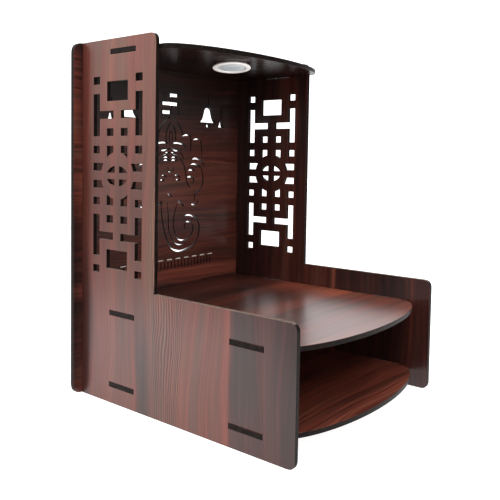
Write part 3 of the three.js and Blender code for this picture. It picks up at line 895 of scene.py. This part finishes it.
@dataclass
class Lamp:
    """The small round lamp under the roof: a white ring round a frosted lens, on a barrel."""

    from_back: float = 105 * MM
    left: float = 9 * MM
    radius: float = 22 * MM
    rim: float = 1.4 * MM
    rim_round: float = 0.7 * MM
    lip_round: float = 0.45 * MM
    plate: float = 0.6 * MM
    lens_radius: float = 16.3 * MM
    lens_thickness: float = 0.4 * MM
    lens_dome: float = 0.9 * MM
    lens_step: float = 0.12 * MM
    lean: float = math.radians(8)
    turn: float = math.radians(51)
    barrel_radius: float = 17.5 * MM
    barrel_round: float = 1.2 * MM
    cap_radius: float = 13.5 * MM
    cap_depth: float = 0.6 * MM
    fit: float = 0.3 * MM
    steps: int = 128
    middle: np.ndarray = field(init=False)

    def __post_init__(self) -> None:
        """Finds the middle of the lamp's back plane from the roof and the back panel."""
        drop = self.fit + self.radius * math.sin(self.lean)
        back_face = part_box("back_panel")[0].y
        self.middle = np.array([-self.left, back_face - self.from_back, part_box("roof_panel")[0].z - drop])

    def leaning(self, points: np.ndarray) -> np.ndarray:
        """Tips the lamp's own points forward, turns them to the front left and hangs them."""
        tip = Matrix.Rotation(-self.turn, 3, "Z") @ Matrix.Rotation(-self.lean, 3, "X")
        return points @ np.array(tip).T + self.middle

    def swept(self, profile: np.ndarray) -> tuple[np.ndarray, np.ndarray]:
        """Sweeps a profile of radius and height once round an upright axis.

        Point (i, j) is (r_j cos a_i, r_j sin a_i, z_j), where a_i is i of the steps round the turn.

        Args:
            profile: k by 2 radii and heights.

        Returns:
            The points as steps by k by 3, and the angle of each step.
        """
        angle = np.linspace(0, 2 * np.pi, self.steps, endpoint=False)
        radius, height = profile.T
        points = np.stack([np.outer(np.cos(angle), radius), np.outer(np.sin(angle), radius),
                           np.tile(height, (self.steps, 1))], axis=-1)
        return points, angle

    def turned(self, profile: np.ndarray) -> tuple[np.ndarray, np.ndarray]:
        """A leaning surface of revolution, closed where its profile starts and ends on the axis."""
        points, _ = self.swept(profile)
        return self.leaning(points.reshape(-1, 3)), grid_quads(self.steps, len(profile))

    def arc(self, middle: tuple[float, float], radius: float, start: float, end: float,
            count: int = 7) -> np.ndarray:
        """Points of an arc, from degrees to degrees: the middle plus the radius times (cos, sin)."""
        angle = np.radians(np.linspace(start, end, count))
        return np.stack([middle[0] + radius * np.cos(angle), middle[1] + radius * np.sin(angle)], axis=-1)

    def ring_profile(self) -> np.ndarray:
        """Half a section of the ring: a rounded rim, a flat face and a rolled lip round the lens.

        Returns:
            Radii and heights, from the axis and back to it.
        """
        face = -(self.plate + self.rim)
        opening = self.lens_radius + self.fit
        return np.concatenate([
            [[0, 0], [self.radius - self.rim_round, 0]],
            self.arc((self.radius - self.rim_round, face + self.rim_round), self.rim_round, 55, -90),
            self.arc((opening + self.lip_round, face + self.lip_round), self.lip_round, 270, 180),
            [[opening, -self.plate], [0, -self.plate]],
        ])

    def barrel(self) -> tuple[np.ndarray, np.ndarray]:
        """The round housing that goes up through the roof.

        Its wall stands at the barrel's radius. It starts on the ring's leaning plane, at tan(lean)
        times the distance towards the lean, and goes up to a flat top with a rounded edge and a
        shallow cap.

        Returns:
            The points in the cabinet's frame, and the quads.
        """
        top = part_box("spotlight_bezel")[1].z - self.middle[2]
        shoulder = self.arc((self.barrel_radius - self.barrel_round, top - self.barrel_round),
                            self.barrel_round, 0, 90)
        sunk = top - self.cap_depth
        cap = [[self.cap_radius, top], [self.cap_radius - self.cap_depth, sunk], [0, sunk]]
        points, angle = self.swept(np.concatenate([[[self.barrel_radius, 0]], shoulder, cap]))
        toward = -np.sin(self.turn) * np.cos(angle) - np.cos(self.turn) * np.sin(angle)
        points[:, 0, 2] = self.barrel_radius * toward * math.tan(self.lean) - self.plate / 2
        floor = np.broadcast_to([0.0, 0.0, -self.plate / 2], (self.steps, 1, 3))
        points = np.concatenate([floor, points], axis=1)
        return points.reshape(-1, 3) + self.middle, grid_quads(self.steps, points.shape[1])

    def lens_profile(self) -> np.ndarray:
        """Half a section of the lens: a shallow dome with one fine step.

        At the share s of its radius the dome stands (1 - s squared) of its full height.

        Returns:
            Radii and heights, from the axis and back to it.
        """
        back = -(self.plate + self.fit)
        share = np.array([1.0, 0.97, 0.9, 0.8, 0.74, 0.73, 0.6, 0.45, 0.3, 0.15, 0.0])
        step = np.where((share > 0.735) & (share < 0.99), self.lens_step, 0.0)
        dome = back - self.lens_thickness - self.lens_dome * (1 - share ** 2) + step
        return np.concatenate([[[0, back], [self.lens_radius, back]],
                               np.stack([share * self.lens_radius, dome], axis=-1)])

    def build(self) -> list[bpy.types.Object]:
        """Makes the ring with its barrel, and the lens.

        Returns:
            The two pieces, which stand for the frame's.
        """
        ring = surface_piece("spotlight_ring", [self.turned(self.ring_profile()), self.barrel()],
                             MouldedPlastic().material())
        lens = surface_piece("spotlight_diffuser", [self.turned(self.lens_profile())],
                             FrostedLens((self.middle[0], self.middle[1]), self.lens_radius).material())
        for piece, node, slot in ((ring, "spotlight_bezel", "white_plastic"),
                                  (lens, "spotlight_lens", "frosted_lens")):
            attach(piece, "root")
            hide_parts(node)
        return [ring, lens]


@dataclass(frozen=True)
class BrightPatch:
    """A bright patch of the surround: its direction, the cosines it comes up between, its strength."""

    toward: tuple[float, float, float]
    start: float
    end: float
    strength: float


@dataclass
class Studio:
    """Pale floor, soft light and the camera that the photograph was taken with."""

    camera_mm: tuple[float, float, float] = (-617.66, -446.93, 269.18)
    yaw_degrees: float = 48.748
    pitch_degrees: float = 3.245
    roll_degrees: float = 0.692
    focal_pixels: float = 666.32
    centre_pixel: tuple[float, float] = (200.0, 195.1)
    picture_pixels: float = 500.0
    table_front: float = -0.5
    table_left: float = -0.56
    table_far: float = 8.0
    cut_corner: tuple[float, float] = (-0.352, -0.03)
    cut_corner_end: float = 0.2
    everywhere: float = 0.25
    backdrop: BrightPatch = BrightPatch((0.5, 0.87, 0.0), 0.3, 0.68, 1.5)
    wall_behind_camera: BrightPatch = BrightPatch((-0.6, -0.8, 0.2), -0.1, 0.9, 0.65)
    left_ceiling: BrightPatch = BrightPatch((-0.45, 0.1, 0.89), 0.2, 0.95, 2.0)
    left_wall: BrightPatch = BrightPatch((-0.74, 0.66, 0.1), 0.6, 0.98, 0.5)
    front_ceiling: BrightPatch = BrightPatch((0.0, -0.3, 0.95), 0.5, 1.0, 0.9)
    box_over: tuple[float, float] = (-0.45, 0.25)
    box_height: float = 0.22
    box_side: float = 0.3
    box_watts: float = 2.0
    box_colour: tuple[float, float, float] = (0.86, 0.93, 1.0)
    snoot_place: tuple[float, float, float] = (-0.12, -0.36, 0.14)
    snoot_watts: float = 6.5
    snoot_degrees: float = 6.6

    def camera(self) -> None:
        """Sets the camera from its fitted place, turn, focal length and picture centre."""
        degrees = (self.yaw_degrees, self.pitch_degrees, self.roll_degrees)
        yaw, pitch, roll = (math.radians(v) for v in degrees)
        ahead = Vector((math.sin(yaw) * math.cos(pitch), math.cos(yaw) * math.cos(pitch), -math.sin(pitch)))
        level = Vector((math.cos(yaw), -math.sin(yaw), 0.0))
        above = level.cross(ahead)
        right = math.cos(roll) * level + math.sin(roll) * above
        up = -math.sin(roll) * level + math.cos(roll) * above
        data = bpy.data.cameras.new("photo_camera")
        data.sensor_width = 36.0
        data.lens = self.focal_pixels / self.picture_pixels * data.sensor_width
        data.shift_x = (self.picture_pixels / 2 - self.centre_pixel[0]) / self.picture_pixels
        data.shift_y = (self.centre_pixel[1] - self.picture_pixels / 2) / self.picture_pixels
        data.clip_start, data.clip_end = 0.01, 50.0
        camera = bpy.data.objects.new("photo_camera", data)
        bpy.context.scene.collection.objects.link(camera)
        turn = Matrix((right, up, -ahead)).transposed()
        camera.matrix_world = Matrix.Translation(Vector(self.camera_mm) * MM) @ turn.to_4x4()
        bpy.context.scene.camera = camera

    def surround(self) -> None:
        """A white surround: bright behind and to the left, dim on the camera's right."""
        world = bpy.data.worlds.new("white_surround")
        bpy.context.scene.world = world
        world.use_nodes = True
        tree = world.node_tree
        tree.nodes.clear()
        way = add_node(tree, "ShaderNodeTexCoord").outputs["Generated"]
        glows = []
        for patch in (self.backdrop, self.wall_behind_camera, self.left_ceiling, self.left_wall,
                      self.front_ceiling):
            cosine = add_node(tree, "ShaderNodeVectorMath", {0: way}, {1: patch.toward},
                              operation="DOT_PRODUCT")
            glow = add_node(tree, "ShaderNodeMapRange", {0: cosine.outputs["Value"]},
                            {1: patch.start, 2: patch.end, 3: 0.0, 4: patch.strength},
                            interpolation_type="SMOOTHSTEP")
            glows.append(glow.outputs[0])
        total = add_node(tree, "ShaderNodeMath", {0: add_up(tree, glows)}, {1: self.everywhere},
                         operation="ADD")
        back = add_node(tree, "ShaderNodeBackground", {"Strength": total.outputs[0]},
                        {"Color": (1.0, 1.0, 1.0, 1.0)})
        add_node(tree, "ShaderNodeOutputWorld", {"Surface": back.outputs[0]})

    def floor(self) -> None:
        """A wide pale floor with a glow of its own, so that shadows on it stay faint.

        Its near left corner is cut off just outside the picture, so that the front of the left
        side panel mirrors less of it.
        """
        far, near, left = self.table_far, self.table_front, self.table_left
        cut_x, cut_y = self.cut_corner
        corners = [(cut_x, near, 0), (far, near, 0), (far, far, 0), (left, far, 0),
                   (left, self.cut_corner_end, 0), (cut_x, cut_y, 0)]
        mesh = bpy.data.meshes.new("floor")
        mesh.from_pydata(corners, [], [tuple(range(len(corners)))])
        made, tree = blank_material("pale_floor")
        shader = add_node(tree, "ShaderNodeBsdfPrincipled", values={
            "Base Color": linear("a8a8a8"), "Roughness": 0.9, "Specular IOR Level": 0.0,
            "Emission Color": (1.0, 1.0, 1.0, 1.0), "Emission Strength": 0.92})
        add_node(tree, "ShaderNodeOutputMaterial", {"Surface": shader.outputs[0]})
        mesh.materials.append(made)
        piece = link("floor", mesh)

    def stand_light(self, data: bpy.types.Light, place: Vector, aim: Vector) -> bpy.types.Object:
        """Stands a light and turns it to what it lights.

        Args:
            data: the light.
            place: where it stands, in metres.
            aim: the point that it faces.

        Returns:
            The light's object.
        """
        light = bpy.data.objects.new(data.name, data)
        light.location = place
        light.rotation_mode = "QUATERNION"
        light.rotation_quaternion = (aim - place).to_track_quat("-Z", "Y")
        bpy.context.scene.collection.objects.link(light)
        return light

    def table_box(self) -> None:
        """A cool soft box over the table's left part, seen by no camera and mirrored by nothing."""
        data = bpy.data.lights.new("left_table_box", "AREA")
        data.shape = "RECTANGLE"
        data.size = data.size_y = self.box_side
        data.color = self.box_colour
        data.energy = self.box_watts
        aim = Vector((*self.box_over, 0.0))
        light = self.stand_light(data, aim + Vector((0.0, 0.0, self.box_height)), aim)
        light.visible_camera = False
        light.visible_glossy = False

    def lamp_snoot(self, lamp: Lamp) -> None:
        """A narrow spot from the open front that lifts the white ring out of the roof's shade.

        Args:
            lamp: the lamp that it faces.
        """
        data = bpy.data.lights.new("lamp_snoot", "SPOT")
        data.energy = self.snoot_watts
        data.spot_size = math.radians(self.snoot_degrees)
        data.spot_blend = 0.25
        data.shadow_soft_size = 0.01
        self.stand_light(data, Vector(self.snoot_place), Vector(lamp.middle))

    def build(self, lamp: Lamp) -> None:
        """Lays the floor, hangs the lights and sets the camera and the white surround.

        Args:
            lamp: the lamp that gets a spot of its own.
        """
        self.floor()
        self.surround()
        self.table_box()
        self.lamp_snoot(lamp)
        bpy.context.scene.view_settings.view_transform = "Standard"
        self.camera()


def main() -> None:
    """Builds the cabinet, its lamp and the studio, in order."""
    logging.basicConfig(level=logging.INFO, format="%(name)s: %(message)s")
    lamp = Lamp()
    for piece in Cabinet().build() + lamp.build():
        LOG.info("made %s with %d faces", piece.name, len(piece.data.polygons))
    Studio().build(lamp)


if __name__ == "__main__":
    main()
